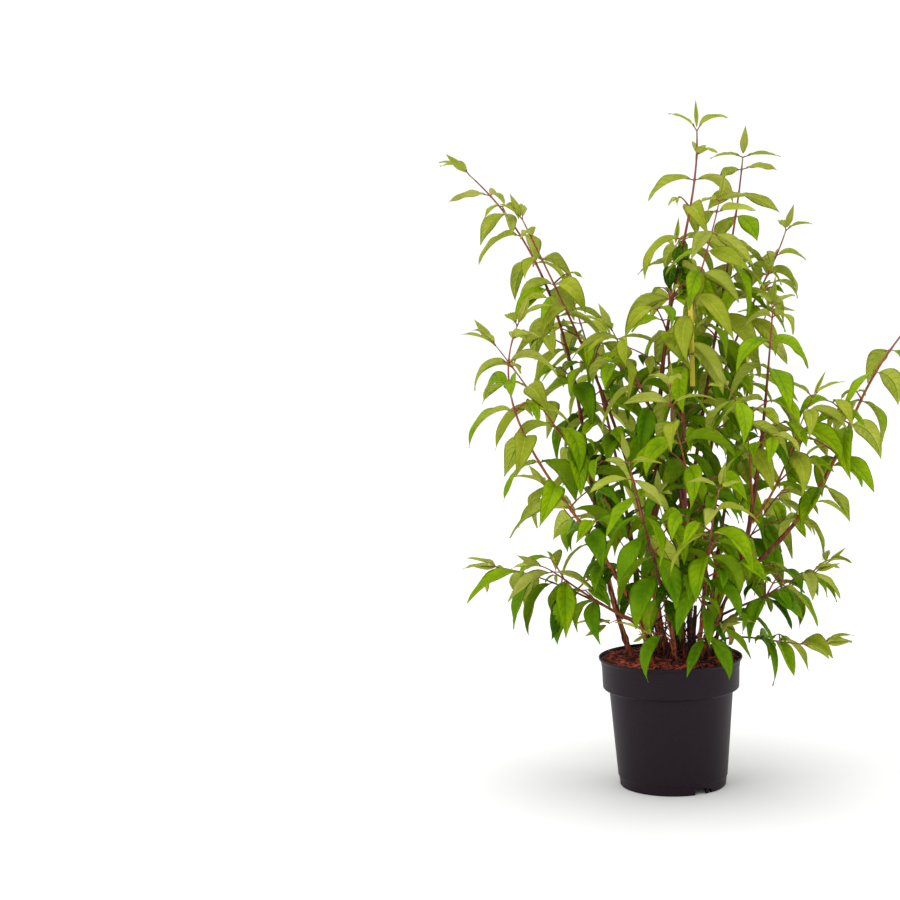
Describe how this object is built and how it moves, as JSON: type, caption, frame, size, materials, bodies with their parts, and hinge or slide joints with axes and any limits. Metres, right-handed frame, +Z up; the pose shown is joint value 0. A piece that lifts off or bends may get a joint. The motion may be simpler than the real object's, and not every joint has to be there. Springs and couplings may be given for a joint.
{
  "type": "potted deutzia shrub",
  "caption": "Leafy garden shrub in its round nursery pot: arching stems with opposite, hanging, pointed leaves, bark over the soil and a blank strap label on one stem.",
  "frame": {"origin": "centre of the pot's flat underside", "axes": "+Z up, -Y towards the shrub's front as in the picture, +X to its right"},
  "size_m": [0.6806, 0.4983, 0.8995],
  "materials": {
    "pot_plastic": "satin",
    "potting_bark": "matte",
    "stem_bark": "matte",
    "leaf_green": "matte",
    "label_yellow": "satin"
  },
  "bodies": {
    "root": {"centre_leaves": "leaf_green", "centre_stem": "stem_bark", "far_low_left_leaves": "leaf_green", "front_left_leaves": "leaf_green", "front_left_stem": "stem_bark", "front_middle_leaves": "leaf_green", "front_middle_stem": "stem_bark", "front_right_leaves": "leaf_green", "front_right_stem": "stem_bark", "front_shoot_leaves": "leaf_green", "front_shoot_stem": "stem_bark", "inner_front_leaves": "leaf_green", "inner_left_leaves": "leaf_green", "inner_rear_leaves": "leaf_green", "inner_right_leaves": "leaf_green", "inner_right_stem": "stem_bark", "label": "label_yellow", "left_bough_leaves": "leaf_green", "left_bough_stem": "stem_bark", "left_lean_leaves": "leaf_green", "left_lean_stem": "stem_bark", "left_upright_leaves": "leaf_green", "left_upright_stem": "stem_bark", "low_left_leaves": "leaf_green", "low_left_stem": "stem_bark", "low_right_front_leaves": "leaf_green", "low_right_leaves": "leaf_green", "lowest_right_leaves": "leaf_green", "mid_left_leaves": "leaf_green", "mid_left_stem": "stem_bark", "outer_right_leaves": "leaf_green", "outer_right_stem": "stem_bark", "pot": "pot_plastic", "potting_bark": "potting_bark", "rear_left_leaves": "leaf_green", "rear_left_stem": "stem_bark", "rear_low_leaves": "leaf_green", "rear_low_left_leaves": "leaf_green", "rear_low_right_leaves": "leaf_green", "rear_middle_leaves": "leaf_green", "rear_middle_stem": "stem_bark", "rear_right_leaves": "leaf_green", "rear_right_stem": "stem_bark", "red_middle_leaves": "leaf_green", "red_middle_stem": "stem_bark", "right_bough_leaves": "leaf_green", "right_bough_stem": "stem_bark", "right_side_leaves": "leaf_green", "right_trunk_stem": "stem_bark", "right_upright_leaves": "leaf_green", "right_upright_stem": "stem_bark", "skirt_front_leaves": "leaf_green", "skirt_left_leaves": "leaf_green", "skirt_right_leaves": "leaf_green", "tan_side_leaves": "leaf_green"}
  },
  "joints": []
}
